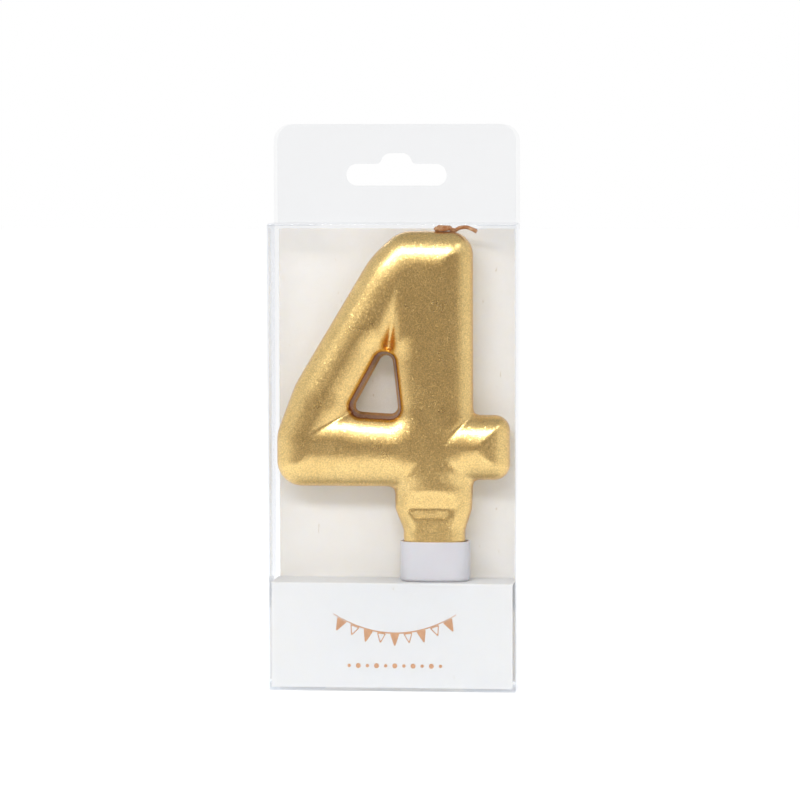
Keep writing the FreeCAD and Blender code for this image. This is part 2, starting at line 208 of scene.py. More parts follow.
def gold_coat():
    """Metallic gold coat on wax: soft gloss, fine flakes with a few glints, slow colour drift, and
    painted shade taken from the mesh's colour attribute.
    """
    s = Shader("gold_coat")
    flakes = s.add("ShaderNodeTexVoronoi", Vector=s.place(), Scale=FLAKES).outputs["Color"]
    chance = s.number("FRACT", s.vector("DOT_PRODUCT", flakes, FLAKE_MIX))
    drift = s.mottle(90.0, 3.0, GOLD_DARK, GOLD_LIGHT)
    flake_tone = s.ramp(chance, 0.0, 1.0, grey(FLAKE_SHADE), grey(1.0))
    # painted shade round the hole and along the edges, multiplied into the base colour
    painted_shade = s.add("ShaderNodeAttribute", attribute_name=PAINTED_SHADE_ATTRIBUTE).outputs["Color"]
    ripple = s.bump(s.noise(90.0, 1.0), 0.06, 0.0002)
    glint = s.ramp(chance, GLINTS_FROM, GLINTS_FULL, grey(0.0), grey(1.0))
    centred = s.vector("SUBTRACT", flakes, (0.5, 0.5, 0.5))
    tilt = s.vector("SCALE", centred, None, None, s.spread(glint, FLAKE_TILT, GLINT_TILT))
    return s.surface(s.principled(
        Metallic=1.0, Coat_Weight=0.25, Coat_Roughness=0.2, Coat_IOR=1.5, Coat_Normal=ripple,
        Base_Color=s.mixed(1.0, s.mixed(1.0, drift, flake_tone, "MULTIPLY"), painted_shade, "MULTIPLY"),
        Roughness=s.spread(s.noise(160.0, 4.0), *GOLD_ROUGHNESS),
        Normal=s.vector("NORMALIZE", s.vector("ADD", ripple, tilt))))


def clear_film():
    """Clear polyester film: a gloss that grows towards grazing angles over a clear body."""
    s = Shader("clear_film")
    facing = s.add("ShaderNodeLayerWeight").outputs["Facing"]
    through = s.add("ShaderNodeBsdfTransparent",
                    Color=s.ramp(facing, 0.3, 1.0, FILM_HEAD_ON, FILM_EDGE_ON))
    gloss = s.principled(Base_Color=FILM_SHEEN, Metallic=0.9, Roughness=0.07,
                         Normal=s.bump(s.noise(45.0), 0.08, 0.0006))
    fresnel = s.spread(s.number("POWER", facing, FILM_GLOSS_POWER), *FILM_GLOSS)
    haze = s.spread(s.noise(60.0, 5.0, 0.6), *FILM_HAZE)
    return s.surface(s.shaders(s.number("ADD", fresnel, haze), through, gloss))


def board(name, light, dark, roughness, tooth, glow):
    """Card: a pulp mottle, a few darker fibres and a fine tooth; glow lets light soak through."""
    s = Shader(name)
    stretched = s.add("ShaderNodeMapping", Vector=s.place(), Scale=FIBRE_STRETCH)
    fibre = s.add("ShaderNodeTexNoise", Vector=stretched.outputs[0], Scale=FIBRES, Detail=1.0)
    flecks = s.ramp(fibre.outputs["Fac"], 0.765, 0.81, grey(1.0), FIBRE_COLOUR)
    pulp = s.mottle(260.0, 6.0, dark, light, roughness=0.7)
    return s.surface(s.principled(
        IOR=1.45, Subsurface_Weight=glow, Subsurface_Scale=CARD_SOAK,
        Subsurface_Radius=CARD_SOAK_COLOUR, Base_Color=s.mixed(1.0, pulp, flecks, "MULTIPLY"),
        Roughness=s.spread(s.noise(400.0, 3.0), roughness - 0.05, roughness + 0.05),
        Normal=s.bump(s.noise(3000.0, 4.0, 0.7), tooth, 0.00004)))


def white_moulding():
    """Satin white polypropylene, slightly translucent, with a faint mould texture."""
    s = Shader("white_moulding")
    return s.surface(s.principled(
        IOR=1.49, Subsurface_Weight=0.15, Subsurface_Scale=0.0015,
        Base_Color=s.mottle(120.0, 3.0, MOULDING_DARK, MOULDING_LIGHT),
        Roughness=s.spread(s.noise(500.0, 3.0), 0.3, 0.4),
        Normal=s.bump(s.noise(2500.0, 3.0), 0.1, 0.00003)))


def wick_yarn():
    """Cotton yarn with a patchy copper-gold coat."""
    s = Shader("wick_yarn")
    coat = s.noise(420.0, 4.0, 0.65)
    return s.surface(s.principled(
        IOR=1.5, Base_Color=s.ramp(coat, 0.42, 0.62, YARN_COATED, YARN_BARE),
        Metallic=s.spread(coat, 0.9, 0.0), Roughness=s.spread(coat, 0.3, 0.75),
        Normal=s.bump(s.noise(6000.0, 4.0, 0.7), 0.5, 0.00005)))


def copper_foil():
    """Hot-stamped copper foil on the white card."""
    s = Shader("copper_foil")
    return s.surface(s.principled(
        Metallic=0.85, Base_Color=s.mottle(700.0, 4.0, FOIL_DARK, FOIL_LIGHT),
        Roughness=s.spread(s.noise(900.0, 3.0), 0.32, 0.5),
        Normal=s.bump(s.noise(4000.0, 3.0), 0.2, 0.00003)))


def pale_floor():
    """White paper that glows a little, so that it stays as white as the surroundings."""
    s = Shader("pale_floor")
    return s.surface(s.principled(
        Roughness=0.85, Emission_Color=grey(1.0), Emission_Strength=FLOOR_GLOW,
        Base_Color=s.mottle(6.0, 3.0, grey(0.80), grey(0.82)),
        Normal=s.bump(s.noise(300.0, 3.0), 0.05, 0.0002)))


# -------- mesh helpers


def placed(name, data):
    """An object in the scene that shows this mesh, lamp or camera."""
    item = bpy.data.objects.new(name, data)
    bpy.context.scene.collection.objects.link(item)
    return item


def make_object(name, points, faces, material):
    """A smooth-shaded mesh object from points in millimetres."""
    mesh = bpy.data.meshes.new(name)
    mesh.from_pydata([tuple(float(c) * MM for c in p) for p in points], [], faces)
    mesh.validate()
    mesh.update()
    mesh.materials.append(material)
    mesh.shade_smooth()
    return placed(name, mesh)


def outward(piece, sharp_degrees=40.0):
    """Turn the faces outward, and keep edges sharper than the limit crisp."""
    work = bmesh.new()
    work.from_mesh(piece.data)
    bmesh.ops.recalc_face_normals(work, faces=work.faces)
    limit = math.radians(sharp_degrees)
    for edge in work.edges:
        if len(edge.link_faces) == 2 and edge.calc_face_angle() > limit:
            edge.smooth = False
    work.to_mesh(piece.data)
    work.free()
    return piece


def rounded_path(corners, radii, closed=False, steps=6):
    """A 2-D path through corners, each rounded by an arc of its own radius."""
    corners = [np.array(c, float) for c in corners]
    count = len(corners)
    path = []
    for index, (corner, radius) in enumerate(zip(corners, radii)):
        if radius <= 0 or (not closed and index in (0, count - 1)):
            path.append(corner)
            continue
        back = corners[index - 1] - corner
        ahead = corners[(index + 1) % count] - corner
        back /= np.linalg.norm(back)
        ahead /= np.linalg.norm(ahead)
        half = math.acos(np.clip(back @ ahead, -1, 1)) / 2
        centre = corner + (back + ahead) / np.linalg.norm(back + ahead) * radius / math.sin(half)
        start = corner + back * radius / math.tan(half) - centre
        end = corner + ahead * radius / math.tan(half) - centre
        for k in range(steps + 1):
            t = k / steps
            blend = start * (1 - t) + end * t
            path.append(centre + blend / np.linalg.norm(blend) * radius)
    return path


def subdivided(path, step):
    """The open path with its long runs cut into pieces no longer than step."""
    fine = [path[0]]
    for start, end in zip(path, path[1:]):
        pieces = max(1, int(np.linalg.norm(end - start) / step))
        fine += [start + (end - start) * (k + 1) / pieces for k in range(pieces)]
    return fine


def directions(line):
    """The unit direction of a line at each of its points."""
    run = np.gradient(line, axis=0)
    return run / np.linalg.norm(run, axis=1)[:, None]


def normals(path):
    """The unit normal of a 2-D path at each of its points, to its left."""
    run = directions(path)
    return np.stack([-run[:, 1], run[:, 0]], axis=1)


def ribbon(name, path, across, thickness, place, material, warp=None):
    """A sheet of even thickness: the 2-D path swept over the list of positions across.

    place(u, v, w) gives the 3-D point of path point (u, v) at position w across the sheet.
    """
    path = np.array(path)
    normal = normals(path) * thickness / 2
    points = []
    for side in (1, -1):
        for w in across:
            for u, v in path + side * normal:
                point = np.array(place(u, v, w), float)
                points.append(point + warp(point) if warp else point)
    columns, rows = len(path), len(across)
    layer = columns * rows
    faces = []
    for base, flip in ((0, False), (layer, True)):
        for r in range(rows - 1):
            for c in range(columns - 1):
                a = base + r * columns + c
                quad = [a, a + 1, a + columns + 1, a + columns]
                faces.append(quad[::-1] if flip else quad)
    rim = [r * columns for r in range(rows)]
    rim += [(rows - 1) * columns + c for c in range(1, columns)]
    rim += [r * columns + columns - 1 for r in range(rows - 2, -1, -1)]
    rim += [c for c in range(columns - 2, 0, -1)]
    for a, b in zip(rim, rim[1:] + rim[:1]):
        faces.append([a, b, layer + b, layer + a])
    return outward(make_object(name, points, faces, material))


def circle(count):
    """The angles of evenly spaced points round a full turn."""
    return [2 * math.pi * k / count for k in range(count)]


def ring_loft(name, rings, material, around=False):
    """A skin over rings of equally many points, capped, or closed on itself if around."""
    count, total = len(rings[0]), len(rings)
    points = [p for ring in rings for p in ring]
    faces = []
    for r in range(total if around else total - 1):
        onward = ((r + 1) % total - r) * count
        for k in range(count):
            a, b = r * count + k, r * count + (k + 1) % count
            faces.append([a, b, b + onward, a + onward])
    if not around:
        faces.append(list(range(count))[::-1])
        faces.append([(total - 1) * count + k for k in range(count)])
    return outward(make_object(name, points, faces, material))


def flat_flap(name, outline, thickness, place, material):
    """A flat sheet with a rounded 2-D outline; place(u, v, w) sets it in space."""
    rings = [[place(u, v, w) for u, v in outline] for w in (0.0, thickness)]
    return ring_loft(name, rings, material)


def joined(name, pieces):
    """One object from several."""
    for piece in bpy.context.selected_objects:
        piece.select_set(False)
    for piece in pieces:
        piece.select_set(True)
    bpy.context.view_layer.objects.active = pieces[0]
    bpy.ops.object.join()
    pieces[0].name = name
    pieces[0].select_set(False)
    return pieces[0]


def smooth_step(value, low, high):
    """0 at low, 1 at high and smooth between; low may be the larger of the two."""
    t = np.clip((value - low) / (high - low), 0.0, 1.0)
    return t * t * (3 - 2 * t)


# -------- the wax numeral

# spacing of the outline's tables, and of the net of points on the surface
GRID, CELL = 0.25, 0.5
# half thickness and the width of the dome's flank, in the strokes and in the neck
BODY_HALF, NECK_HALF = 7.0, 5.2
BODY_DOME, NECK_DOME = 11.4, 5.5
NECK_LOW, NECK_HIGH = 57.8, 64.0
# power of the dome's curve, depth at which the outline is read, and blur of the creases
PROFILE, SECTION_LEVEL, SOFTENING = 2.1, 1.0, 0.4
# valleys where two strokes meet: inner corner, end towards which it rises, rounding, steepness
CREASES = [((-1.5, 108.8), (3.6, 136.0), 0.7, 1.6),
           ((-12.8, 88.8), (-30.0, 79.0), 1.2, 1.0),
           ((25.3, 87.6), (13.5, 76.0), 1.6, 1.0),
           ((25.3, 66.6), (15.5, 74.5), 1.6, 1.0),
           ((0.2, 64.3), (9.0, 73.5), 1.6, 1.0)]
# the hole's wall: its window in x and z, its steep front, and the bevel behind mid-depth
HOLE_WINDOW = (-14.0, 2.5, 86.0, 111.0)
HOLE_TAPER, HOLE_LEDGE, HOLE_BEVEL = 5.0, 1.0, 0.45
# the step across the neck: the ends of its crest, the width of its slope, and its height
NECK_BAR = ((7.1, 54.7), (16.7, 54.7), 2.9, 0.48)
BAR_BLUR = 0.3
# painted shade: a warmer, darker colour along the edges near mid-depth and round the hole's rim,
# wall and back bevel; its colour, and where it sets in
EDGE_PAINTED_SHADE, EDGE_SHADE_SHARE, EDGE_SHADE_REACH = (0.62, 0.33, 0.12), 0.45, (3.4, 0.5)
RIM_PAINTED_SHADE, RIM_REACH, RIM_DEPTH = (0.72, 0.48, 0.09), (3.0, 2.5), (-1.0, -3.0)
WALL_PAINTED_SHADE, WALL_REACH, WALL_DEPTH = (0.46, 0.22, 0.07), (2.2, 1.9), (5.4, 4.6)
LEDGE_PAINTED_SHADE, LEDGE_REACH = (0.76, 0.54, 0.40), (1.15, 0.95)
# the rim's painted shade also runs up both flanks of the first crease, as painted reflection of
# one steep flank in the other: how far up, how wide, how deep
FLANK_UP, FLANK_WIDTH, FLANK_DEPTH = 0.36, (0.6, 2.8), (-2.0, -4.0)


def section_lines(node, level):
    """The straight pieces in which a CAD node's mesh meets the plane y = level, as x and z."""
    work = bmesh.new()
    work.from_mesh(frame["nodes"][node].data)
    cut = bmesh.ops.bisect_plane(work, geom=work.verts[:] + work.edges[:] + work.faces[:],
                                 plane_co=(0, level * MM, 0), plane_no=(0, 1, 0))
    lines = [[(v.co.x / MM, v.co.z / MM) for v in item.verts]
             for item in cut["geom_cut"] if isinstance(item, bmesh.types.BMEdge)]
    work.free()
    return np.array(lines)


def distance_to(line_start, line_end, x, z):
    """Distance of points to one straight line piece, and how far along it they fall (0 to 1)."""
    start, end = np.array(line_start), np.array(line_end)
    run = end - start
    along = ((x - start[0]) * run[0] + (z - start[1]) * run[1]) / max(run @ run, 1e-12)
    along = np.clip(along, 0.0, 1.0)
    return np.hypot(x - start[0] - along * run[0], z - start[1] - along * run[1]), along


def nearest(lines, x, z):
    """Distance of points to the nearest of many straight line pieces."""
    away = np.full(x.shape, 1e9)
    for start, end in lines:
        away = np.minimum(away, distance_to(start, end, x, z)[0])
    return away


def blurred(values, radius):
    """A Gaussian blur with the given radius in grid cells."""
    reach = int(3 * radius)
    weights = np.exp(-0.5 * (np.arange(-reach, reach + 1) / radius) ** 2)
    weights /= weights.sum()
    for axis in (0, 1):
        padded = np.pad(values, [(reach, reach) if a == axis else (0, 0) for a in (0, 1)], "edge")
        values = sum(w * np.take(padded, range(k, k + values.shape[axis]), axis)
                     for k, w in enumerate(weights))
    return values


class NumeralForm:
    """The domed figure as an implicit form: inside where field() is negative."""

    def __init__(self):
        """Works out the tables, by x and z, from which field() reads."""
        margin = 2.0
        self.low = NUMERAL_LOW[[0, 2]] - margin
        high = NUMERAL_HIGH[[0, 2]] + margin
        xs = np.arange(self.low[0], high[0] + GRID, GRID)
        zs = np.arange(self.low[1], high[1] + GRID, GRID)
        x, z = np.meshgrid(xs, zs, indexing="ij")
        lines = section_lines("numeral_body", SECTION_LEVEL)
        depth = self.signed_depth(lines, x, z)
        neck = smooth_step(z, NECK_LOW, NECK_HIGH)
        self.half = NECK_HALF + (BODY_HALF - NECK_HALF) * neck
        dome = NECK_DOME + (BODY_DOME - NECK_DOME) * neck
        depth = self.creased(depth, x, z, dome)
        left, right, bottom, top = HOLE_WINDOW
        self.hole = nearest([line for line in lines if left < line[0][0] < right
                             and bottom < line[0][1] < top], x, z)
        self.slope = blurred(np.maximum(1.0 - depth / dome, -0.2), SOFTENING / GRID)
        start, end, reach, height = NECK_BAR
        away, _ = distance_to(start, end, x, np.maximum(z, start[1]))
        self.bar = height * blurred(np.clip(1.0 - away / reach, 0.0, 1.0), BAR_BLUR / GRID)

    @staticmethod
    def signed_depth(lines, x, z):
        """Distance to the outline, positive inside the wax."""
        crossings = np.zeros(x.shape, int)
        for start, end in lines:
            if abs(end[1] - start[1]) > 1e-9:
                spans = (start[1] > z) != (end[1] > z)
                meet = start[0] + (z - start[1]) * (end[0] - start[0]) / (end[1] - start[1])
                crossings += spans & (meet > x)
        away = nearest(lines, x, z)
        return np.where(crossings % 2 == 1, away, -away)

    def creased(self, depth, x, z, dome):
        """Cuts the valleys into the depth."""
        for start, end, rounding, steepness in CREASES:
            away, along = distance_to(start, end, x, z)
            valley = steepness * away + dome * along
            mix = np.clip(0.5 + 0.5 * (valley - depth) / rounding, 0, 1)
            lowest = valley * (1 - mix) + depth * mix - rounding * mix * (1 - mix)
            depth = np.where(depth > 0.3, lowest, depth)
        return depth

    def look_up(self, table, x, z):
        """Bilinear value of a 2-D table."""
        u = np.clip((x - self.low[0]) / GRID, 0, table.shape[0] - 1.001)
        v = np.clip((z - self.low[1]) / GRID, 0, table.shape[1] - 1.001)
        i, j = u.astype(int), v.astype(int)
        fu, fv = u - i, v - j
        return ((table[i, j] * (1 - fu) + table[i + 1, j] * fu) * (1 - fv)
                + (table[i, j + 1] * (1 - fu) + table[i + 1, j + 1] * fu) * fv)

    def field(self, x, y, z):
        """Negative inside the wax, zero on its surface."""
        slope = self.look_up(self.slope, x, z)
        half = self.look_up(self.half, x, z)
        hole = self.look_up(self.hole, x, z)
        front = np.minimum(y + self.look_up(self.bar, x, z), 0.0)
        level = np.where(y < 0, front, y)
        dome = np.abs(level / half) ** PROFILE + np.maximum(slope, 0.0) ** PROFILE - 1.0
        steep = (-y - HOLE_TAPER * (hole - HOLE_LEDGE)) / half
        bevel = HOLE_LEDGE - HOLE_BEVEL * y - hole
        return np.maximum(dome, np.where(y < 0, steep, bevel))


def net_points(value):
    """A point in each grid cell that the surface crosses, in cells, and its number by cell."""
    shape = tuple(n - 1 for n in value.shape)
    total = np.zeros(shape + (3,))
    hits = np.zeros(shape)

    def at(corner):
        """The field at this corner of each cell."""
        return value[tuple(slice(o, o + n) for o, n in zip(corner, shape))]

    for first in [(a, b, c) for a in (0, 1) for b in (0, 1) for c in (0, 1)]:
        for axis in range(3):
            if first[axis]:
                continue
            second = tuple(1 if a == axis else first[a] for a in range(3))
            a, b = at(first), at(second)
            crossed = (a < 0) != (b < 0)
            share = np.where(crossed, a / np.where(crossed, a - b, 1.0), 0.0)
            for k in range(3):
                offset = first[k] + (share if k == axis else 0.0)
                total[..., k] += np.where(crossed, offset, 0.0)
            hits += crossed
    cells = hits > 0
    number = np.full(shape, -1)
    number[cells] = np.arange(cells.sum())
    return np.argwhere(cells) + total[cells] / hits[cells][:, None], number


def net_quads(inside, number):
    """A quad across each grid edge on which the field changes sign."""
    quads = []
    for axis in range(3):
        one, two = [a for a in range(3) if a != axis]
        start = [slice(1, -1)] * 3
        start[axis] = slice(0, -1)
        stop = list(start)
        stop[axis] = slice(1, None)
        change = inside[tuple(start)] != inside[tuple(stop)]
        for spot in np.argwhere(change):
            spot = spot + np.array([0 if a == axis else 1 for a in range(3)])
            around = []
            for da, db in ((1, 1), (0, 1), (0, 0), (1, 0)):
                cell = spot.copy()
                cell[one] -= da
                cell[two] -= db
                around.append(int(number[tuple(cell)]))
            quads.append(around)
    return quads


def surface_net(form, low, high):
    """Points and quads on the form's surface, one point in each grid cell that it crosses."""
    axes = [np.arange(low[a], high[a] + CELL, CELL) for a in range(3)]
    value = form.field(*np.meshgrid(*axes, indexing="ij"))
    points, number = net_points(value)
    return points * CELL + np.array([a[0] for a in axes]), net_quads(value < 0, number)


def settle(form, points, rounds=4, reach=0.01):
    """Move points along the field's slope onto its surface."""
    for _ in range(rounds):
        x, y, z = points.T
        value = form.field(x, y, z)
        slope = np.stack([
            form.field(x + reach, y, z) - form.field(x - reach, y, z),
            form.field(x, y + reach, z) - form.field(x, y - reach, z),
            form.field(x, y, z + reach) - form.field(x, y, z - reach)], axis=1) / (2 * reach)
        steepness = np.maximum((slope ** 2).sum(1), 1e-4)
        step = -(value / steepness)[:, None] * slope
        length = np.linalg.norm(step, axis=1)[:, None]
        points = points + step * np.minimum(1.0, 0.4 / np.maximum(length, 1e-9))
    return points


def coat_tint(form, points):
    """Painted shade: colour that darkens and warms the coat round the hole and its rim, up the
    first crease's flanks and along the edges near mid-depth.
    """
    x, y, z = points.T
    hole = form.look_up(form.hole, x, z)
    deep = smooth_step(np.abs(y), *WALL_DEPTH)
    start, end = CREASES[0][:2]
    away, along = distance_to(start, end, x, z)
    narrow, widening = FLANK_WIDTH
    reach = narrow + widening * smooth_step(along, FLANK_UP, 0.0)
    flank = smooth_step(away, 0.2, 0.7) * smooth_step(away / reach, 1.0, 0.5)
    flank *= smooth_step(along, FLANK_UP, 0.05)
    # painted shade: a darker, warmer band along the edges near mid-depth, and round the hole's
    # rim, wall and back bevel; painted reflection up the first crease's flanks
    shares = [(EDGE_PAINTED_SHADE, EDGE_SHADE_SHARE * smooth_step(np.abs(y), *EDGE_SHADE_REACH)),
              (RIM_PAINTED_SHADE, smooth_step(hole, *RIM_REACH) * smooth_step(y, *RIM_DEPTH)),
              (WALL_PAINTED_SHADE, smooth_step(hole, *WALL_REACH) * deep),
              (LEDGE_PAINTED_SHADE, smooth_step(hole, *LEDGE_REACH)),
              (RIM_PAINTED_SHADE, flank * smooth_step(y, *FLANK_DEPTH))]
    tint = np.ones((len(points), 3))
    for colour, share in shares:
        tint += (np.array(colour) - tint) * share[:, None]
    return tint


def numeral():
    """The wax figure, its neck and the low step across the neck."""
    form = NumeralForm()
    # off the round values, so that no grid point lies on the surface
    low = np.array([NUMERAL_LOW[0] - 1.03, -9.02, NUMERAL_LOW[2] - 1.04])
    high = np.array([NUMERAL_HIGH[0] + 1.0, 8.5, NUMERAL_HIGH[2] + 1.0])
    points, quads = surface_net(form, low, high)
    points = settle(form, points)
    piece = outward(make_object("candle_numeral", points, quads, MATERIALS["gold"]), 60.0)
    # painted shade for the gold, stored as a colour on each point
    tint = coat_tint(form, points)
    coat = piece.data.attributes.new(PAINTED_SHADE_ATTRIBUTE, "FLOAT_COLOR", "POINT")
    coat.data.foreach_set("color", np.hstack([tint, np.ones((len(tint), 1))]).ravel())
    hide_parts("numeral_body")
    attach(piece, "pack")


# -------- wick


def spline(points, steps=10):
    """A smooth line through given points."""
    points = np.array(points, float)
    ends = np.vstack([2 * points[0] - points[1], points, 2 * points[-1] - points[-2]])
    line = []
    for k in range(1, len(ends) - 2):
        a, b, c, d = ends[k - 1:k + 3]
        for t in np.arange(steps) / steps:
            line.append(0.5 * (2 * b + (c - a) * t + (2 * a - 5 * b + 4 * c - d) * t ** 2
                               + (3 * b - 3 * c + d - a) * t ** 3))
    line.append(points[-1])
    return np.array(line)


def frames_along(line):
    """A side vector and a second one at each point, turning as little as they can."""
    run = directions(line)
    side = np.cross(run[0], (0, 1, 0))
    side /= np.linalg.norm(side)
    sides = []
    for direction in run:
        side = side - direction * (side @ direction)
        side /= np.linalg.norm(side)
        sides.append(side)
    sides = np.array(sides)
    return sides, np.cross(run, sides)


def tube(name, line, radii, material, sides=10):
    """A round skin along a line, with a radius at each of its points."""
    one, two = frames_along(line)
    rings = []
    for point, a, b, radius in zip(line, one, two, radii):
        rings.append([point + radius * (a * math.cos(t) + b * math.sin(t))
                      for t in circle(sides)])
    return ring_loft(name, rings, material)


STRANDS = 3
WISP_RADIUS = 0.16


def twisted_yarn(name, line, lay, spread, radius):
    """Strands that wind round a line, one turn to each lay, with a slightly frayed free end."""
    one, two = frames_along(line)
    gone = np.concatenate([[0], np.cumsum(np.linalg.norm(np.diff(line, axis=0), axis=1))])
    made = []
    for k in range(STRANDS):
        turn = 2 * math.pi * (gone / lay + k / STRANDS)
        fray = 1.0 + 0.5 * smooth_step(gone, gone[-1] - 1.2, gone[-1])
        offset = one * np.cos(turn)[:, None] + two * np.sin(turn)[:, None]
        strand = line + offset * (spread * fray)[:, None]
        radii = radius * (1.0 + 0.08 * np.sin(gone * 5 + 2 * k))
        radii[-3:] *= (0.95, 0.8, 0.45)
        made.append(tube("%s_%d" % (name, k), strand, radii, MATERIALS["yarn"]))
    return joined(name, made)


def wick():
    """The coated wick: it leaves the crown, is knotted there, and its tail droops right."""
    low = node_box("wick")[0]
    to_middle = 5.8
    foot = np.array((low[0] + to_middle, 0, NUMERAL_HIGH[2]))
    stub = [(-2.6, 0.2, -2.2), (-2.3, 0.1, -0.4), (-1.6, -0.3, 0.5), (-0.5, -0.8, 0.9)] + foot
    knot = [(-2.7, -0.3, 0.5), (-2.0, -1.0, 1.0), (-0.4, -1.2, 0.55), (1.2, -0.9, 0.7),
            (1.9, 0.1, 1.1), (0.7, 1.0, 1.2), (-1.1, 0.9, 1.2), (-1.7, 0.0, 1.35),
            (-0.6, -0.7, 1.25), (0.9, -0.8, 1.2), (2.3, -0.2, 0.5), (3.6, 0.1, 0.35),
            (5.2, 0.0, 1.1), (6.9, -0.1, 1.25), (8.6, -0.1, 0.8), (10.4, -0.1, -0.15)] + foot
    wisp = [(1.2, -0.9, 0.9), (2.6, -1.2, 1.0), (3.9, -1.0, 0.75)] + foot
    loose = spline(wisp)
    parts = [twisted_yarn("wick_stub", spline(stub), lay=2.0, spread=0.25, radius=0.3),
             twisted_yarn("wick_run", spline(knot), lay=2.3, spread=0.30, radius=0.35),
             tube("wick_wisp", loose, [WISP_RADIUS] * len(loose), MATERIALS["yarn"], sides=8)]
    piece = joined("candle_wick", parts)
    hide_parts("wick")
    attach(piece, "pack")


# -------- cup and spike


def oval_ring(half_x, half_y, centre_x, z, fullness=3.0, count=96):
    """A level ring: an oval, fuller than an ellipse."""
    ring = []
    for turn in circle(count):
        c, s = math.cos(turn), math.sin(turn)
        reach = (abs(c) ** fullness + abs(s) ** fullness) ** (-1 / fullness)
        ring.append((centre_x + half_x * reach * c, half_y * reach * s, z))
    return ring


def cup():
    """The hollow cup: up its outside, over the rim and down its inside."""
    half_x, half_y = (HOLDER_HIGH - HOLDER_LOW)[:2] / 2
    wall, base_round, rim_round, floor_round = 0.8, 1.1, 0.3, 0.8
    top, floor = HOLDER_HIGH[2], SHELF_TOP + 1.2
    rings = []

    def ring(inset, z):
        """Adds a ring that lies this far inside the cup's outline."""
        rings.append(oval_ring(half_x - inset, half_y - inset, HOLDER_X, z))

    quarter = [math.pi / 2 * k / 6 for k in range(7)]
    for t in quarter:
        ring(base_round * (1 - math.sin(t)), SHELF_TOP + base_round * (1 - math.cos(t)))
    ring(0.0, SHELF_TOP + 6)
    for t in quarter:
        ring(rim_round * (1 - math.cos(t)), top - rim_round * (1 - math.sin(t)))
    for t in quarter[::-1]:
        ring(wall - rim_round * (1 - math.cos(t)), top - rim_round * (1 - math.sin(t)))
    ring(wall, floor + floor_round)
    for t in quarter:
        ring(wall + floor_round * (1 - math.cos(t)), floor + floor_round * (1 - math.sin(t)))
    return ring_loft("cup", rings, MATERIALS["moulding"])


def spike_rib(turned):
    """One of the spike's two crossed ribs, which taper to a point below the shelf."""
    width, rib, tip = 2.5, 0.6, 0.12
    length = SHELF_TOP - HOLDER_LOW[2]
    blade = []
    # height against the shelf's top, half width and half thickness
    for z, w, t in ((0.5, width, rib), (0.0, width, rib), (-length * 0.55, width * 0.55, rib),
                    (-length + 1.0, 0.6, 0.35), (-length, tip, tip)):
        path = rounded_path([(w, -t), (w, t), (-w, t), (-w, -t)], [min(w, t) * 0.5] * 4,
                            closed=True, steps=3)
        blade.append([(HOLDER_X + (v if turned else u), u if turned else v, SHELF_TOP + z)
                      for u, v in path])
    return ring_loft("spike_rib", blade, MATERIALS["moulding"])


def cup_and_spike():
    """The white cup with its ribbed spike."""
    piece = joined("cup_and_spike", [cup(), spike_rib(False), spike_rib(True)])
    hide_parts("holder")
    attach(piece, "pack")


# -------- clear film box


def levels(low, high, step):
    """Even positions from low to high, about a step apart."""
    return list(np.linspace(low, high, max(2, int((high - low) / step) + 1)))


def swell(point):
    """Thin film does not lie quite flat: the wide walls belly and ripple a little."""
    x, y, z = point
    if abs(y) < abs(WALL_FRONT) - 0.6:
        return np.zeros(3)
    belly, cross_ripple, slanted_ripple = 0.16, 0.05, 0.035
    fade = max(0.0, 1 - (x / WALL_X) ** 4) * max(0.0, 1 - (abs(z / SLEEVE_TOP * 2 - 1)) ** 6)
    ripple = cross_ripple * math.sin(x * 0.11 + 0.8) * math.sin(z * 0.083 + 0.4)
    ripple += slanted_ripple * math.sin(x * 0.05 - z * 0.045 + 1.3)
    return np.array([0.0, math.copysign(belly * fade + ripple * fade, y), 0.0])


TOP_CREASE = SLEEVE_TOP - 0.3
CORNER_ROUND = 0.35
LID_ROUND = 0.12
LID_CLEARANCE = 0.02


def film_sleeve():
    """The film tube, one folded sheet from its lapped seam round to the back again."""
    seam_low, _ = node_box("sleeve_glue_flap")
    lap = WALL_BACK - FILM
    corners = [(seam_low[0], lap), (WALL_X, lap), (WALL_X, WALL_FRONT), (-WALL_X, WALL_FRONT),
               (-WALL_X, WALL_BACK), (WALL_X, WALL_BACK)]
    path = subdivided(rounded_path(corners, [0] + [CORNER_ROUND] * 4 + [0], steps=5), 3.0)
    piece = ribbon("film_sleeve", path, levels(0.0, TOP_CREASE, 4.0), FILM,
                   lambda u, v, w: (u, v, w), MATERIALS["film"], warp=swell)
    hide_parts("sleeve_front_panel", "sleeve_back_panel", "sleeve_left_panel",
                "sleeve_right_panel", "sleeve_glue_flap")
    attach(piece, "pack")


def film_lid():
    """The lid: it curls out of the front wall and runs level to the header."""
    low, high = node_box("lid_panel")
    level = SLEEVE_TOP - FILM / 2 - LID_CLEARANCE
    path = rounded_path([(WALL_FRONT, TOP_CREASE), (WALL_FRONT, level), (high[1], level)],
                        [0, LID_ROUND, 0], steps=4)
    path = subdivided(path, 3.0)

    def sag(point):
        """The lid dips a little towards its middle."""
        x, y, _ = point
        rise = 0.12 * math.sin(x * 0.09 + 0.5) * (1 - (y / WALL_FRONT) ** 2)
        return np.array([0.0, 0.0, min(0.0, rise)])

    piece = ribbon("film_lid", path, levels(low[0], high[0], 3.0), FILM,
                   lambda u, v, w: (w, u, v), MATERIALS["film"], warp=sag)
    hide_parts("lid_panel")
    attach(piece, "lid")


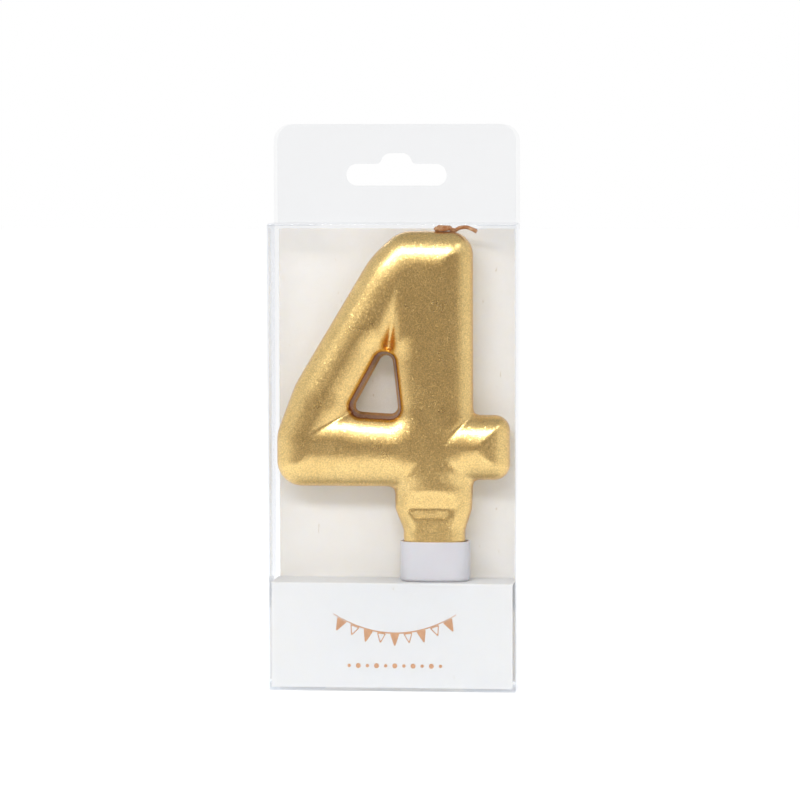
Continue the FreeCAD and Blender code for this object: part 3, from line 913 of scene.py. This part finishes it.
def header_layer(node, body, lean):
    """A header layer: the CAD sheet with its slot, bowed a little out of flat."""
    mesh = frame["nodes"][node].data.copy()
    low, high = node_box(node)
    work = bmesh.new()
    work.from_mesh(mesh)
    bmesh.ops.remove_doubles(work, verts=work.verts, dist=1e-7)
    for axis, step in ((0, 4.0), (2, 3.0)):
        for at in levels(low[axis], high[axis], step)[1:-1]:
            point, normal = [0, 0, 0], [0, 0, 0]
            point[axis], normal[axis] = at * MM, 1
            bmesh.ops.bisect_plane(work, geom=work.verts[:] + work.edges[:] + work.faces[:],
                                   plane_co=point, plane_no=normal)
    for vertex in work.verts:
        x, z = vertex.co.x / MM, vertex.co.z / MM - SLEEVE_TOP
        rise = z / (high[2] - SLEEVE_TOP)
        bow = lean * rise ** 2 + 0.25 * lean * rise * math.cos(x * 0.06 + 0.6)
        vertex.co.y += bow * MM
    work.to_mesh(mesh)
    work.free()
    mesh.materials.clear()
    mesh.materials.append(MATERIALS["film"])
    mesh.shade_smooth()
    piece = outward(placed("film_" + node, mesh), 30.0)
    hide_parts(node)
    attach(piece, body)


def level_flap(node, body, taper, corner, side=1, hinge_corner=0.2):
    """A horizontal flap, cut back and rounded at its free end, on the side given (1 or -1)."""
    low, high = node_box(node)
    free, hinge = (high[0], low[0]) if side > 0 else (low[0], high[0])
    corners = [(hinge, low[1]), (free, low[1] + taper), (free, high[1] - taper), (hinge, high[1])]
    outline = rounded_path(corners, [hinge_corner, corner, corner, hinge_corner], closed=True)
    piece = flat_flap("film_" + node, outline, high[2] - low[2],
                      lambda u, v, w: (u, v, low[2] + w), MATERIALS["film"])
    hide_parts(node)
    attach(piece, body)


def tuck_flap():
    """The bottom lid's upright tuck-in edge, narrower and rounded at its top."""
    low, high = node_box("bottom_tuck_flap")
    taper = 1.5
    corners = [(low[0], low[2]), (high[0], low[2]), (high[0] - taper, high[2]),
               (low[0] + taper, high[2])]
    outline = rounded_path(corners, [0.2, 0.2, 4.0, 4.0], closed=True, steps=8)
    piece = flat_flap("film_bottom_tuck_flap", outline, high[1] - low[1],
                      lambda u, v, w: (u, low[1] + w, v), MATERIALS["film"])
    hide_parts("bottom_tuck_flap")
    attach(piece, "tuck_flap")


def film_box():
    """Every piece of the box."""
    film_sleeve()
    film_lid()
    header_layer("header_front_layer", "header_front", lean=-0.5)
    header_layer("header_rear_layer", "header_rear", lean=0.25)
    for end, taper in (("top", 1.2), ("bottom", 1.0)):
        for hand, side in (("left", 1), ("right", -1)):
            level_flap("%s_dust_flap_%s" % (end, hand), "%s_flap_%s" % (end, hand), taper,
                       corner=3.0, side=side)
    level_flap("bottom_lid_panel", "bottom_lid", taper=0.0, corner=0.3, hinge_corner=0.3)
    tuck_flap()


# -------- card insert


def back_card():
    """The cream card, with a very slight curl."""
    low, high = node_box("insert_back_panel")
    middle = (low[1] + high[1]) / 2
    path = subdivided([np.array((low[0], middle)), np.array((high[0], middle))], 3.0)

    def curl(point):
        """Towards the front by up to an eighth of a millimetre."""
        x, _, z = point
        return np.array([0.0, -0.06 * (1 + math.sin(x * 0.07 + z * 0.03)), 0.0])

    piece = ribbon("card_back", path, levels(low[2], high[2], 5.0), CARD,
                   lambda u, v, w: (u, v, w), MATERIALS["cream"], warp=curl)
    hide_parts("insert_back_panel")
    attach(piece, "pack")


SPIKE_HOLE_RADIUS = 3


def shelf_card():
    """One folded card: the white front, the shelf with its hole, and the tab glued behind."""
    front_low, front_high = node_box("insert_front_panel")
    tab_low, tab_high = node_box("insert_glue_tab")
    front = front_low[1] + CARD / 2
    back = (tab_low[1] + tab_high[1]) / 2
    level = SHELF_TOP - CARD / 2
    corners = [(front, front_low[2]), (front, level), (back, level), (back, tab_low[2])]
    path = subdivided(rounded_path(corners, [0, 0.45, 0.45, 0], steps=6), 2.5)
    piece = ribbon("card_shelf", path, levels(front_low[0], front_high[0], 4.0), CARD,
                   lambda u, v, w: (w, u, v), MATERIALS["white"])
    rings = [[(HOLDER_X + SPIKE_HOLE_RADIUS * math.cos(t), SPIKE_HOLE_RADIUS * math.sin(t), z)
              for t in circle(32)] for z in (SHELF_TOP - 2, SHELF_TOP + 2)]
    drill = ring_loft("drill", rings, MATERIALS["white"])
    cut = piece.modifiers.new("spike_hole", "BOOLEAN")
    cut.operation = "DIFFERENCE"
    cut.solver = "EXACT"
    cut.object = drill
    bpy.context.view_layer.objects.active = piece
    bpy.ops.object.modifier_apply(modifier=cut.name)
    bpy.data.objects.remove(drill)
    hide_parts("insert_shelf", "insert_front_panel", "insert_glue_tab")
    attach(piece, "pack")


# -------- foil ornament

FOIL = 0.03
FOIL_ROUND = 0.25
GARLAND_X, GARLAND_TOP = 0.9, 24.8
GARLAND_HALF, GARLAND_DIP = 19.5, 6.0
STRING_WIDTH = 0.45
# pennants each side of the middle one, and the shares of the string's half length that they take
PENNANTS, PENNANT_PITCH, PENNANT_HALF = 4, 1 / 4.7, 0.36 / 4.7
# depth of a filled and of an outlined pennant, the gap under the string, and the opening's size
FILLED_DROP, OUTLINE_DROP, HEM, OPENING = 4.6, 3.8, 0.25, 0.68
DOTS, DOT_PITCH, DOTS_BELOW = 5, 2.9, 16.4
SMALL_DOT, LARGE_DOT = 0.55, 0.8


def foil_shape(outline):
    """A patch of foil on the white card's face, from a 2-D outline in x and z."""
    return flat_flap("foil", [np.array(p, float) for p in outline], FOIL,
                     lambda u, v, w: (u, CARD_FACE - w, v), MATERIALS["foil"])


def foil_line(points, width):
    """A strip of foil that tapers to both ends."""
    points = np.array(points, float)
    share = np.sin(np.linspace(0.12, math.pi - 0.12, len(points)))[:, None]
    half = normals(points) * width / 2 * (0.35 + 0.65 * share)
    return foil_shape(list(points + half) + list((points - half)[::-1]))


def foil_frame(rim, inner):
    """An open outline of foil between two like-numbered loops."""
    loops = [(rim, 0.0), (rim, FOIL), (inner, FOIL), (inner, 0.0)]
    rings = [[(u, CARD_FACE - w, v) for u, v in loop] for loop, w in loops]
    return ring_loft("foil", rings, MATERIALS["foil"], around=True)


def garland(t):
    """The garland's string, for t from -1 to 1."""
    return np.array([GARLAND_X + GARLAND_HALF * t, GARLAND_TOP - GARLAND_DIP * (1 - t * t)])


def pennant(k):
    """Pennant number k from the middle; every other one is only an outline."""
    left = garland(k * PENNANT_PITCH - PENNANT_HALF)
    right = garland(k * PENNANT_PITCH + PENNANT_HALF)
    middle = (left + right) / 2
    run = (right - left) / np.linalg.norm(right - left)
    down = np.array([run[1], -run[0]])
    filled = k % 2 == 0
    drop = FILLED_DROP if filled else OUTLINE_DROP
    rim = rounded_path([right + down * HEM, middle + down * drop, left + down * HEM],
                       [FOIL_ROUND] * 3, closed=True, steps=3)
    if filled:
        return foil_shape(rim)
    heart = middle + down * drop * 0.36
    return foil_frame(np.array(rim), heart + (np.array(rim) - heart) * OPENING)


def ornament():
    """A plain party garland stamped in copper foil: a string of pennants over a row of dots."""
    patches = [foil_line([garland(t) for t in np.linspace(-1, 1, 41)], STRING_WIDTH)]
    patches += [pennant(k) for k in range(-PENNANTS, PENNANTS + 1)]
    for k in range(-DOTS, DOTS + 1):
        size = SMALL_DOT if k % 2 else LARGE_DOT
        x, z = GARLAND_X + k * DOT_PITCH, GARLAND_TOP - DOTS_BELOW
        patches.append(foil_shape([(x + size * math.cos(t), z + size * math.sin(t))
                                   for t in circle(20)]))
    piece = joined("foil_garland", patches)
    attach(piece, "pack")


# -------- studio

CAMERA_AZIMUTH = math.radians(5.83)
CAMERA_ELEVATION = math.radians(4.27)
CAMERA_ROLL = math.radians(0.144)
CAMERA_DISTANCE = 1.424
LOOK_ACROSS, LOOK_UP = 1.84 * MM, 91.68 * MM
LENS, SENSOR = 201.5, 36.0
# the room's brightness in front of the pack, elsewhere and overhead, and its warm tone in front
FRONT_ROOM, SIDE_ROOM, OVERHEAD_SHARE = 0.16, 0.95, 0.55
FRONT_TONE = (1.0, 0.74, 0.46, 1)
LAMP_DISTANCE = 0.9
LAMP_TARGET = Vector((0, 0, 0.08))


def out_along(a, e):
    """The unit direction outward at an azimuth (0 in front, growing to the right), elevation."""
    return Vector((math.sin(a) * math.cos(e), -math.cos(a) * math.cos(e), math.sin(e)))


def camera():
    """The camera, at the angle and distance of the photograph."""
    a, e, roll = CAMERA_AZIMUTH, CAMERA_ELEVATION, CAMERA_ROLL
    across = Vector((math.cos(a), math.sin(a), 0))
    toward = out_along(a, e)
    up = toward.cross(across)
    target = across * LOOK_ACROSS + up * LOOK_UP
    turned_across = across * math.cos(roll) - up * math.sin(roll)
    turned_up = across * math.sin(roll) + up * math.cos(roll)
    data = bpy.data.cameras.new("camera")
    data.lens, data.sensor_width = LENS, SENSOR
    eye = placed("camera", data)
    matrix = Matrix((turned_across, turned_up, toward)).transposed().to_4x4()
    matrix.translation = target + toward * CAMERA_DISTANCE
    eye.matrix_world = matrix
    bpy.context.scene.camera = eye


def soft_box(name, azimuth, elevation, size, brightness):
    """A rectangular lamp that points at the pack; azimuth 0 is in front, 90 on the right."""
    way = out_along(math.radians(azimuth), math.radians(elevation))
    data = bpy.data.lights.new(name, "AREA")
    data.shape = "RECTANGLE"
    data.size, data.size_y = size
    data.energy = brightness * math.pi * size[0] * size[1]
    lamp = placed(name, data)
    lamp.location = LAMP_TARGET + way * LAMP_DISTANCE
    lamp.rotation_euler = way.to_track_quat("Z", "Y").to_euler()


def world():
    """A white studio: a dim, warm, level band in front, bright elsewhere, dimmer overhead."""
    s = Shader("studio", "worlds", "ShaderNodeOutputWorld")
    bpy.context.scene.world = s.owner
    generated = s.add("ShaderNodeTexCoord").outputs["Generated"]
    direction = s.add("ShaderNodeSeparateXYZ", Vector=generated)

    def fade(axis, low, high, start, end):
        """Smooth step along one axis of the direction, from start at low to end at high."""
        return s.add("ShaderNodeMapRange", interpolation_type="SMOOTHSTEP", From_Min=low,
                     From_Max=high, To_Min=start, To_Max=end,
                     Value=direction.outputs[axis]).outputs[0]

    ahead = fade("Y", -0.85, -0.45, 1.0, 0.0)
    band = s.number("MULTIPLY", fade("Z", -0.32, -0.11, 0.0, 1.0), fade("Z", 0.06, 0.27, 1.0, 0.0))
    dim = s.number("MULTIPLY", ahead, band)
    overhead = fade("Z", 0.45, 0.90, 1.0, OVERHEAD_SHARE)
    strength = s.number("MULTIPLY", s.spread(dim, SIDE_ROOM, FRONT_ROOM), overhead)
    white = s.add("ShaderNodeBackground", Color=grey(1.0), Strength=1.0)
    lit = s.add("ShaderNodeBackground", Color=s.mixed(dim, grey(1.0), FRONT_TONE),
                Strength=strength)
    seen = s.add("ShaderNodeLightPath").outputs["Is Camera Ray"]
    s.surface(s.shaders(seen, lit, white))


def floor():
    """A pale floor; it ends a little way in front of the pack and runs far back."""
    width, front, back = 3.5, -0.32, 4.0
    mesh = bpy.data.meshes.new("floor")
    corners = [(-width, front, 0), (width, front, 0), (width, back, 0), (-width, back, 0)]
    mesh.from_pydata(corners, [], [[0, 1, 2, 3]])
    mesh.materials.append(pale_floor())
    ground = placed("floor", mesh)


def studio():
    """Everything round the pack: camera, room, floor and lamps."""
    camera()
    world()
    floor()
    soft_box("key_box", azimuth=-12, elevation=35, size=(0.95, 0.14), brightness=15.0)
    soft_box("small_box", azimuth=50, elevation=40, size=(0.16, 0.16), brightness=8.0)
    bpy.context.scene.view_settings.view_transform = "Standard"
    # light that crosses many layers of film still has to arrive
    bpy.context.scene.cycles.transparent_max_bounces = 24
    bpy.context.scene.cycles.glossy_bounces = 8


# -------- build

MATERIALS = {
    "gold": gold_coat(),
    "film": clear_film(),
    "cream": board("cream_board", (0.655, 0.645, 0.638, 1), (0.632, 0.622, 0.615, 1),
                   roughness=0.75, tooth=0.35, glow=0.8),
    "white": board("white_board", (0.615, 0.617, 0.619, 1), (0.595, 0.597, 0.599, 1),
                   roughness=0.5, tooth=0.15, glow=0.4),
    "moulding": white_moulding(),
    "yarn": wick_yarn(),
    "foil": copper_foil(),
}

numeral()
wick()
cup_and_spike()
film_box()
back_card()
shelf_card()
ornament()
studio()
